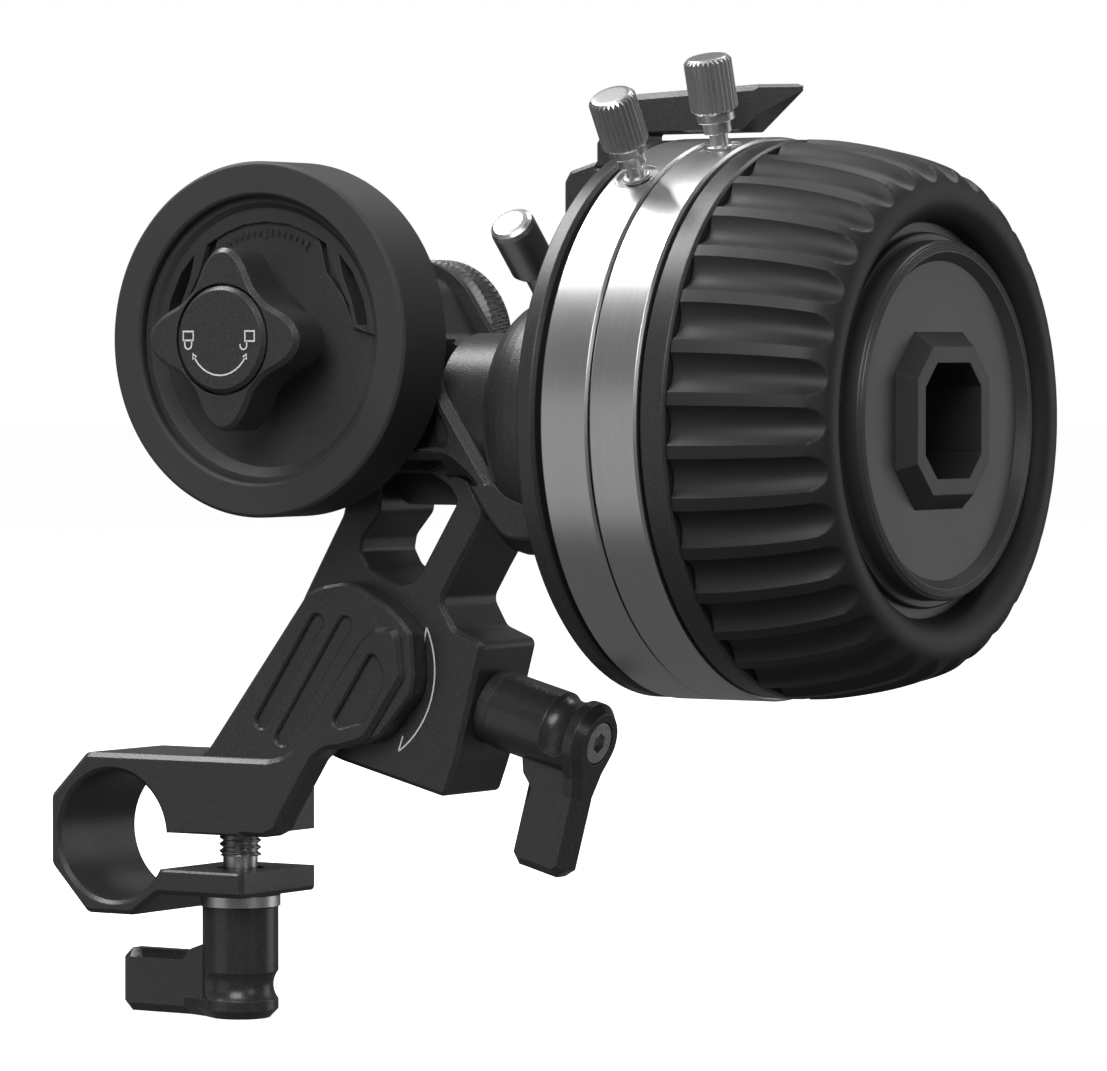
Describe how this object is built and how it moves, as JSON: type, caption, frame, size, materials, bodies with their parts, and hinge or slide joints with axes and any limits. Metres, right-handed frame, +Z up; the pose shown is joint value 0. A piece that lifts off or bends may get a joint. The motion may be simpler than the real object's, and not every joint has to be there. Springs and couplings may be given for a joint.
{
  "type": "follow focus unit",
  "caption": "Clamp-on follow focus: split rod clamp, swinging arm, right-angle gearbox, toothed lens gear with lock knob, and a large ribbed handwheel with adjustable stop rings.",
  "frame": {"origin": "centre of the rod clamp bore, on the bore axis", "axes": "+X along the handwheel axis towards the grip, +Y along the rod and the lens-gear axis away from the lens gear's face, +Z up"},
  "size_m": [0.1129, 0.0614, 0.1086],
  "materials": {
    "black_anodised": "bead-blasted black anodised, satin",
    "satin_silver": "turned satin, clear anodised",
    "grip_rubber": "matte moulded rubber",
    "gear_rubber": "matte moulded rubber",
    "gear_plastic": "moulded, fine grain",
    "steel": "turned steel",
    "black_steel": "black oxide",
    "brass": "turned brass"
  },
  "bodies": {
    "root": {"rod_clamp_arm": "black_anodised", "pivot_washer": "steel", "pivot_screw": "black_steel"},
    "rod_stud": {"rod_clamp_stud": "steel", "rod_clamp_lever_screw": "steel", "rod_clamp_washer": "satin_silver"},
    "rod_lever": {"rod_clamp_lever": "black_anodised", "rod_clamp_lever_spring": "steel"},
    "arm": {"arm_link": "black_anodised", "gearbox_housing": "black_anodised", "gearbox_front_cover": "black_anodised", "gearbox_rear_cover": "black_anodised", "gearbox_screws": "black_steel", "back_plate": "black_anodised", "back_plate_screws": "black_steel", "index_block": "black_anodised", "index_arm": "black_anodised", "index_screws": "black_steel", "bearing_outer_rings": "steel", "idler_bushes": "brass", "arm_lock_pad": "brass", "release_pin_bush": "black_anodised", "release_pin_spring": "steel"},
    "arm_stud": {"arm_lock_stud": "steel", "arm_lock_lever_screw": "steel", "arm_lock_lever_spring": "steel", "arm_lock_washer": "black_anodised"},
    "arm_lever": {"arm_lock_lever": "black_anodised"},
    "gear": {"gear_shaft": "steel", "drive_gear": "gear_plastic", "gear_cover_ring": "gear_rubber", "rear_knob": "black_anodised", "rear_knob_screw": "black_steel", "output_spur_gear": "steel", "gear_circlip": "steel", "gear_bearing_inner_rings": "steel", "gear_bearing_balls": "steel", "gear_lock_screw": "black_steel"},
    "gear_lock": {"gear_lock_knob": "black_anodised", "gear_lock_cap": "black_anodised"},
    "idler": {"idler_shaft": "steel", "idler_spur_gear": "steel", "idler_bevel_gear": "steel"},
    "wheel": {"wheel_shaft": "steel", "wheel_bevel_gear": "steel", "wheel_drum": "black_anodised", "wheel_flange": "black_anodised", "wheel_core": "black_anodised", "wheel_core_screws": "black_steel", "wheel_grip": "grip_rubber", "hub_plate": "black_anodised", "crank_socket": "black_anodised", "wheel_centre_screw": "steel", "wheel_bearing_inner_rings": "steel", "wheel_bearing_balls": "steel"},
    "ring_a": {"stop_ring_a": "satin_silver"},
    "ring_b": {"stop_ring_b": "satin_silver"},
    "screw_a": {"stop_screw_a": "satin_silver"},
    "screw_b": {"stop_screw_b": "satin_silver"},
    "pin": {"release_pin": "satin_silver"}
  },
  "joints": [
    {"name": "rod_lever_turn", "type": "hinge", "parent": "root", "child": "rod_stud", "pos_m": [0.0128, 0.0005, -0.008], "axis": [0, 0, 1], "range_deg": [-160, 160]},
    {"name": "rod_lever_pull", "type": "slide", "parent": "rod_stud", "child": "rod_lever", "axis": [0, 0, -1], "range_m": [0, 0.0025], "stiffness_N_per_m": 500, "springref_m": -0.004, "deforming": ["rod_clamp_lever_spring"]},
    {"name": "arm_swing", "type": "hinge", "parent": "root", "child": "arm", "pos_m": [0.031, 0, 0.02], "axis": [0, 1, 0], "range_deg": [-25, 25]},
    {"name": "arm_lever_turn", "type": "hinge", "parent": "arm", "child": "arm_stud", "pos_m": [0.048, 0.0024, 0.01545], "axis": [0.9659, 0, -0.2588], "range_deg": [-70, 70]},
    {"name": "arm_lever_pull", "type": "slide", "parent": "arm_stud", "child": "arm_lever", "axis": [0.9659, 0, -0.2588], "range_m": [0, 0.0025], "stiffness_N_per_m": 500, "springref_m": -0.004},
    {"name": "wheel_turn", "type": "hinge", "parent": "arm", "child": "wheel", "pos_m": [0.08, 0.004, 0.04815], "axis": [1, 0, 0], "continuous": true},
    {"name": "idler_turn", "type": "hinge", "parent": "arm", "child": "idler", "pos_m": [0.02675, 0, 0.04815], "axis": [0, 1, 0], "continuous": true},
    {"name": "gear_turn", "type": "hinge", "parent": "arm", "child": "gear", "pos_m": [0.02675, 0, 0.0569], "axis": [0, 1, 0], "continuous": true},
    {"name": "gear_lock_turn", "type": "hinge", "parent": "gear", "child": "gear_lock", "pos_m": [0.02675, -0.02, 0.0569], "axis": [0, 1, 0], "range_deg": [0, 90]},
    {"name": "stop_ring_a_turn", "type": "hinge", "parent": "arm", "child": "ring_a", "pos_m": [0.074, 0.004, 0.04815], "axis": [1, 0, 0], "range_deg": [-20, 310]},
    {"name": "stop_ring_b_turn", "type": "hinge", "parent": "arm", "child": "ring_b", "pos_m": [0.08, 0.004, 0.04815], "axis": [1, 0, 0], "range_deg": [-5, 325]},
    {"name": "stop_screw_a_turn", "type": "hinge", "parent": "ring_a", "child": "screw_a", "pos_m": [0.074, -0.01481, 0.07884], "axis": [0, -0.5225, 0.8526], "range_deg": [0, 360]},
    {"name": "stop_screw_b_turn", "type": "hinge", "parent": "ring_b", "child": "screw_b", "pos_m": [0.08, -0.0061, 0.0827], "axis": [0, -0.2807, 0.9598], "range_deg": [0, 360]},
    {"name": "release_pin_pull", "type": "slide", "parent": "arm", "child": "pin", "axis": [0, -0.7071, 0.7071], "range_m": [0, 0.002], "stiffness_N_per_m": 600, "springref_m": -0.003}
  ],
  "couplings": [
    {"joint": "idler_turn", "follows": "wheel_turn", "ratio": -1},
    {"joint": "gear_turn", "follows": "wheel_turn", "ratio": 0.75}
  ]
}
